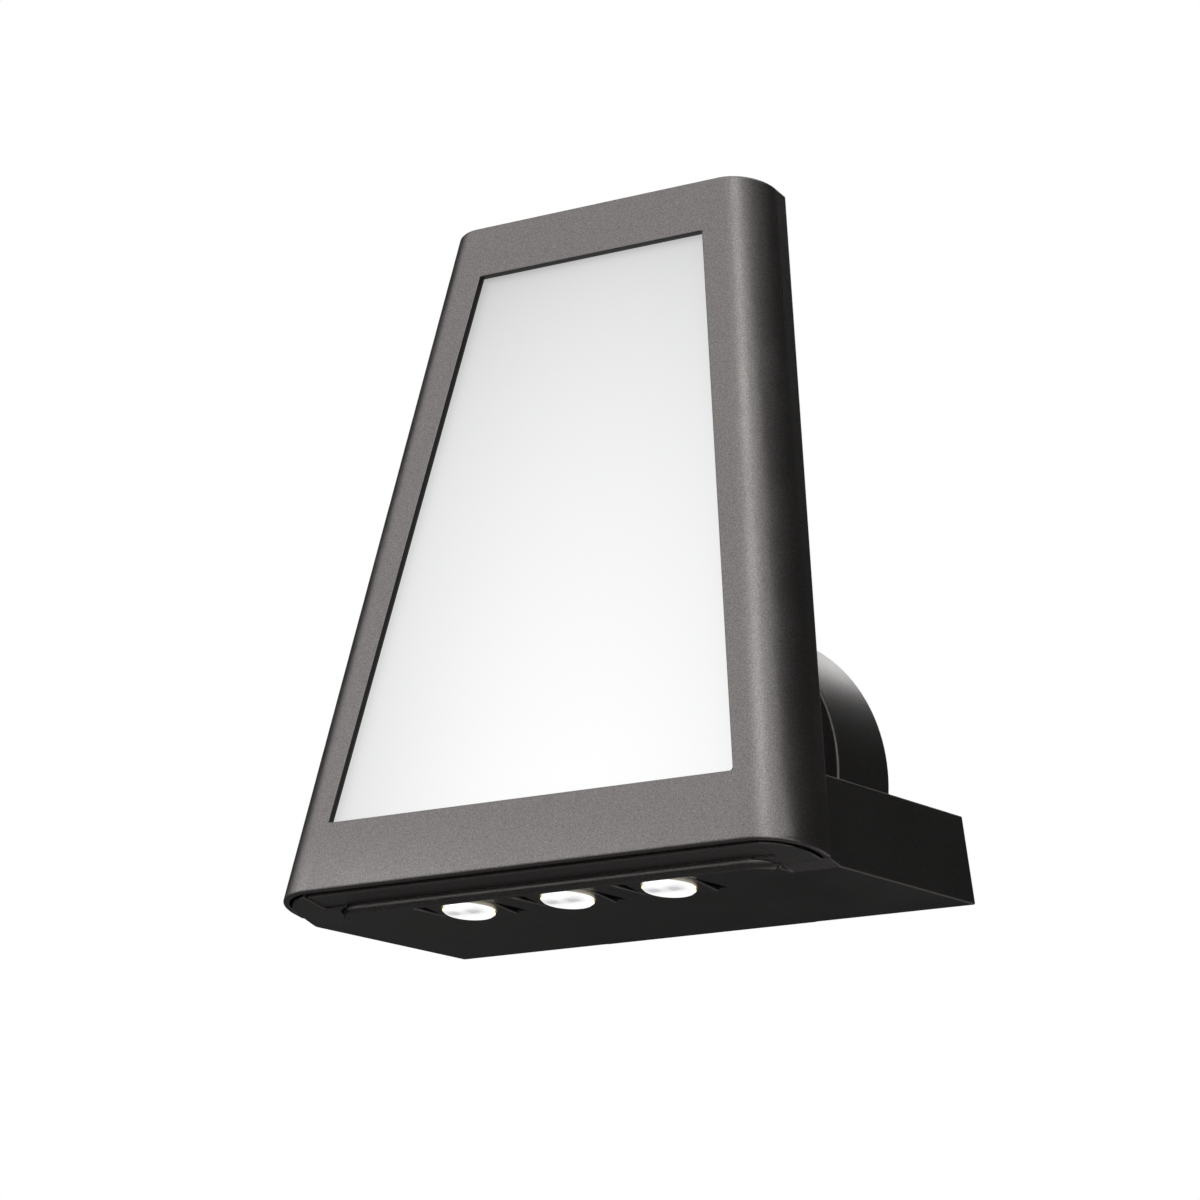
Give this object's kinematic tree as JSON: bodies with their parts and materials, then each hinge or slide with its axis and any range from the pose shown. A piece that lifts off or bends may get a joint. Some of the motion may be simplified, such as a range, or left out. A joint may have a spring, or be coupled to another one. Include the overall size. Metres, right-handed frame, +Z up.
{
  "type": "outdoor wall light",
  "caption": "Wall light: leaning tapered light panel with rounded sides over a flat box with tilting downlight spots, held by a round wall rose.",
  "frame": {"origin": "middle of the round wall rose in its rear face, on the wall, between the bracket's two slots", "axes": "+X to the right seen from the front, +Y into the wall, +Z up"},
  "size_m": [0.2012, 0.1287, 0.2358],
  "materials": {
    "shell_paint": "fine-textured graphite powder coat",
    "box_paint": "fine-textured dark graphite powder coat",
    "trim_paint": "satin dark grey",
    "opal": "opal acrylic, satin",
    "white_sheet": "matt white",
    "led_board": "white solder mask on metal core",
    "led_chip": "LED resin",
    "spot_black": "satin black",
    "clear_lens": "clear optic",
    "raw_aluminium": "extruded",
    "nylon": "nylon",
    "screw_steel": "stainless",
    "zinc_steel": "zinc plated",
    "seal_rubber": "soft black",
    "driver_case": "potted plastic case",
    "terminal_plastic": "natural nylon"
  },
  "bodies": {
    "light": {"front_shell": "shell_paint", "spot_housing": "box_paint", "housing_lid": "box_paint", "wall_rose": "box_paint", "rear_cover": "box_paint", "mouth_plate": "box_paint", "pivot_caps": "box_paint", "trim_strip": "trim_paint", "diffuser_panel": "opal", "reflector_tray": "white_sheet", "panel_led_board": "led_board", "panel_leds": "led_chip", "rear_cover_screws": "screw_steel", "mouth_screws": "screw_steel", "housing_screws": "screw_steel", "lid_screws": "screw_steel", "pivot_cap_screws": "screw_steel", "driver_screws": "screw_steel", "rose_screws": "screw_steel", "joint_screws": "screw_steel", "terminal_screw": "screw_steel", "wall_bracket": "zinc_steel", "window_gasket": "seal_rubber", "rear_cover_seal": "seal_rubber", "lid_seal": "seal_rubber", "rose_seal": "seal_rubber", "joint_gasket": "seal_rubber", "cable_grommet": "seal_rubber", "led_driver": "driver_case", "terminal_block": "terminal_plastic"},
    "spot_left": {"spot_carrier_1": "spot_black", "spot_lens_1": "clear_lens", "spot_led_board_1": "led_board", "spot_heat_sink_1": "raw_aluminium", "spot_screws_1": "screw_steel", "friction_bushes_1": "nylon"},
    "spot_middle": {"spot_carrier_2": "spot_black", "spot_lens_2": "clear_lens", "spot_led_board_2": "led_board", "spot_heat_sink_2": "raw_aluminium", "spot_screws_2": "screw_steel", "friction_bushes_2": "nylon"},
    "spot_right": {"spot_carrier_3": "spot_black", "spot_lens_3": "clear_lens", "spot_led_board_3": "led_board", "spot_heat_sink_3": "raw_aluminium", "spot_screws_3": "screw_steel", "friction_bushes_3": "nylon"}
  },
  "joints": [
    {"name": "spot_tilt_left", "type": "hinge", "parent": "light", "child": "spot_left", "pos_m": [-0.0381, -0.1001, -0.0401], "axis": [-1, 0, 0], "range_deg": [-27, 13]},
    {"name": "spot_tilt_middle", "type": "hinge", "parent": "light", "child": "spot_middle", "pos_m": [0, -0.1001, -0.0401], "axis": [-1, 0, 0], "range_deg": [-27, 13]},
    {"name": "spot_tilt_right", "type": "hinge", "parent": "light", "child": "spot_right", "pos_m": [0.0381, -0.1001, -0.0401], "axis": [-1, 0, 0], "range_deg": [-27, 13]}
  ]
}
